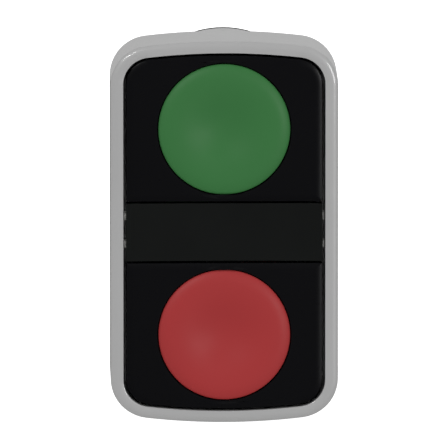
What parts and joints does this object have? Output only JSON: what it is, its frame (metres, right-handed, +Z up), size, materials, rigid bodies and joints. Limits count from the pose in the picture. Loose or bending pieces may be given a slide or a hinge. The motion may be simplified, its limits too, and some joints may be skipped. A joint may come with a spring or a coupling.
{
  "type": "double-headed push button",
  "caption": "Panel push-button unit with a green start button above a red stop button, a dark lamp window between them, a round barrel and pull-off contact blocks.",
  "frame": {"origin": "where the barrel's axis meets the front face of the panel, on the back of the gasket", "axes": "+X right seen from the front, +Y into the panel along the barrel, +Z up from the red button to the green one"},
  "size_m": [0.03, 0.0563, 0.051],
  "materials": {
    "bezel_grey": "satin moulded, fine grain",
    "black_plastic": "fine matt texture",
    "gasket_rubber": "matt",
    "green_plastic": "satin moulded",
    "red_plastic": "satin moulded",
    "window_dark": "smoked, polished",
    "diffuser_white": "milky",
    "core_plastic": "matt",
    "spring_steel": "bright drawn wire",
    "screw_steel": "zinc plated",
    "contact_brass": "stamped, lightly tarnished",
    "carrier_black": "fine matt texture",
    "ring_grey": "matt",
    "lever_orange": "satin moulded",
    "housing_green": "fine matt texture",
    "housing_red": "fine matt texture",
    "housing_white": "fine matt texture",
    "slider_ivory": "satin moulded",
    "board_green": "lacquered laminate",
    "led_clear": "clear epoxy"
  },
  "bodies": {
    "head": {"bezel": "bezel_grey", "barrel_base": "black_plastic", "panel_gasket": "gasket_rubber", "upper_surround": "black_plastic", "lower_surround": "black_plastic", "centre_lens": "window_dark", "light_guide": "diffuser_white", "guide_core": "core_plastic", "core_snap_ring": "spring_steel"},
    "green_button": {"green_cap": "green_plastic", "green_plunger": "green_plastic", "green_lip_seal": "gasket_rubber", "green_return_spring": "spring_steel", "green_clip": "spring_steel"},
    "red_button": {"red_cap": "red_plastic", "red_plunger": "red_plastic", "red_lip_seal": "gasket_rubber", "red_return_spring": "spring_steel", "red_clip": "spring_steel"},
    "carrier": {"contact_carrier": "carrier_black", "carrier_front_ring": "carrier_black", "start_housing": "housing_green", "start_cover": "housing_green", "start_slider_spring": "spring_steel", "start_terminals": "contact_brass", "start_screws": "screw_steel", "start_washers": "contact_brass", "stop_housing": "housing_red", "stop_cover": "housing_red", "stop_slider_spring": "spring_steel", "stop_terminals": "contact_brass", "stop_screws": "screw_steel", "stop_washers": "contact_brass", "lamp_housing": "housing_white", "lamp_cover": "housing_white", "lamp_board": "board_green", "lamp_led": "led_clear", "lamp_terminals": "contact_brass", "lamp_screws": "screw_steel", "lamp_washers": "contact_brass"},
    "lock": {"locking_ring": "ring_grey", "lock_lever": "lever_orange"},
    "start_contact": {"start_slider": "slider_ivory", "start_bridge": "contact_brass", "start_bridge_spring": "spring_steel"},
    "stop_contact": {"stop_slider": "slider_ivory", "stop_bridge": "contact_brass", "stop_bridge_spring": "spring_steel"}
  },
  "joints": [
    {"name": "green_press", "type": "slide", "parent": "head", "child": "green_button", "axis": [0, 1, 0], "range_m": [0, 0.003], "stiffness_N_per_m": 800, "springref_m": -0.0025, "deforming": ["green_return_spring"]},
    {"name": "red_press", "type": "slide", "parent": "head", "child": "red_button", "axis": [0, 1, 0], "range_m": [0, 0.003], "stiffness_N_per_m": 800, "springref_m": -0.0025, "deforming": ["red_return_spring"]},
    {"name": "carrier_pull", "type": "slide", "parent": "head", "child": "carrier", "axis": [0, 1, 0], "range_m": [0, 0.016]},
    {"name": "lock_swing", "type": "hinge", "parent": "carrier", "child": "lock", "pos_m": [0, 0.0092, 0], "axis": [0, 1, 0], "range_deg": [-30, 0]},
    {"name": "start_contact_stroke", "type": "slide", "parent": "carrier", "child": "start_contact", "axis": [0, 1, 0], "range_m": [0, 0.003], "deforming": ["start_slider_spring"]},
    {"name": "stop_contact_stroke", "type": "slide", "parent": "carrier", "child": "stop_contact", "axis": [0, 1, 0], "range_m": [0, 0.003], "deforming": ["stop_slider_spring"]}
  ],
  "couplings": [
    {"joint": "start_contact_stroke", "follows": "green_press", "ratio": 1},
    {"joint": "stop_contact_stroke", "follows": "red_press", "ratio": 1}
  ]
}
